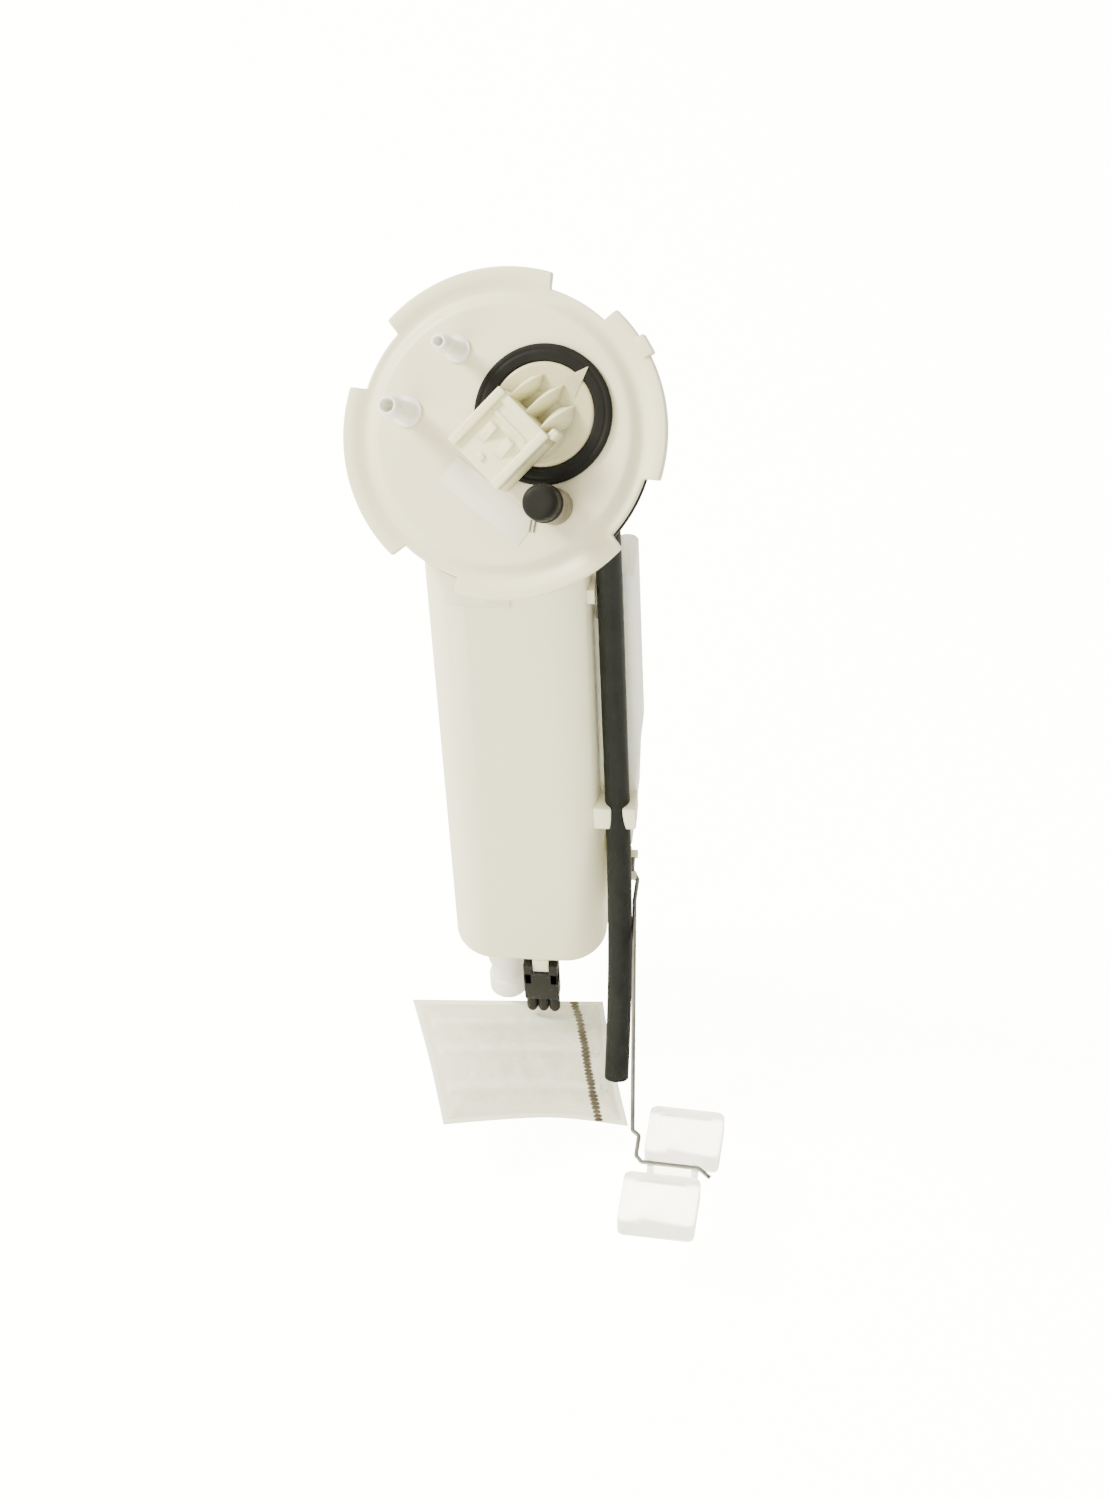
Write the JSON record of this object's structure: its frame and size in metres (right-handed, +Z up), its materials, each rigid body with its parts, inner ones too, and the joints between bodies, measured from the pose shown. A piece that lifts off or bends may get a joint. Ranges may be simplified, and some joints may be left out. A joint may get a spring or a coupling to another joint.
{
  "type": "fuel pump module",
  "caption": "In-tank fuel pump module: tilted mounting flange with pipes and a plug socket, a tall reservoir around an electric pump, a strainer, and a level sender with a float on a wire arm.",
  "frame": {"origin": "centre of the cover's rim on its seating plane", "axes": "+Z up along the reservoir's axis, -Y towards the strainer's far edge and the float; the cover leans 45 degrees forward, with its normal turned 11.6 degrees from -Y towards -X"},
  "size_m": [0.1555, 0.1943, 0.3828],
  "materials": {
    "acetal_white": "satin",
    "acetal_cream": "satin",
    "nylon_cream": "satin",
    "nylon_natural": "satin, translucent",
    "nylon_black": "satin",
    "rubber_black": "matte",
    "hose_black": "satin",
    "plated_collar": "satin",
    "contact_tin": "satin",
    "label_film": "satin",
    "strainer_mesh": "woven",
    "steel_case": "satin",
    "cast_pump": "satin",
    "impeller_resin": "matte",
    "shaft_steel": "ground",
    "winding": "lacquered",
    "ferrite": "matte",
    "carbon": "matte",
    "card_ceramic": "matte",
    "wiper_metal": "bright",
    "wire_steel": "drawn",
    "float_white": "matte"
  },
  "bodies": {
    "module": {"flange_cover": "acetal_cream", "flange_seal": "rubber_black", "feed_pipe": "nylon_natural", "return_pipe": "nylon_natural", "vent_sleeve": "plated_collar", "connector_seal": "rubber_black", "connector_header": "nylon_cream", "connector_terminals": "contact_tin", "label": "label_film", "mounting_collar": "acetal_cream", "reservoir": "acetal_white", "inlet_grommet": "rubber_black", "strainer_neck": "nylon_natural", "strainer_frame": "nylon_natural", "strainer_sock": "strainer_mesh", "strainer_clip": "nylon_black", "fill_valve": "rubber_black", "pump_case": "steel_case", "pump_inlet_cover": "cast_pump", "pump_plate": "cast_pump", "motor_magnets": "ferrite", "motor_brushes": "carbon", "pump_outlet_cover": "nylon_black", "lower_isolator": "rubber_black", "upper_isolator": "rubber_black", "pump_retainer": "acetal_white", "delivery_tube": "nylon_natural", "return_tube": "nylon_natural", "auxiliary_hose": "hose_black", "hose_clip": "nylon_natural", "sender_bracket": "nylon_natural", "sender_body": "acetal_white", "resistor_card": "card_ceramic"},
    "cap": {"vent_cap": "rubber_black"},
    "rotor": {"pump_shaft": "shaft_steel", "armature": "winding", "impeller": "impeller_resin"},
    "arm": {"arm_hub": "acetal_white", "float_arm": "wire_steel", "wiper": "wiper_metal"},
    "float": {"float_shell": "float_white", "float_lids": "float_white"}
  },
  "joints": [
    {"name": "cap_pull", "type": "slide", "parent": "module", "child": "cap", "axis": [-0.1422, -0.6927, 0.7071], "range_m": [0, 0.012]},
    {"name": "rotor_spin", "type": "hinge", "parent": "module", "child": "rotor", "pos_m": [-0.008, 0.0005, -0.22], "axis": [0, 0, 1], "continuous": true},
    {"name": "arm_lift", "type": "hinge", "parent": "module", "child": "arm", "pos_m": [0.0415, -0.003, -0.2434], "axis": [-1, 0, 0], "range_deg": [0, 78]},
    {"name": "float_swivel", "type": "hinge", "parent": "arm", "child": "float", "pos_m": [0.067, -0.1142, -0.3093], "axis": [0.9983, -0.0522, -0.0261], "range_deg": [-25, 80]}
  ]
}
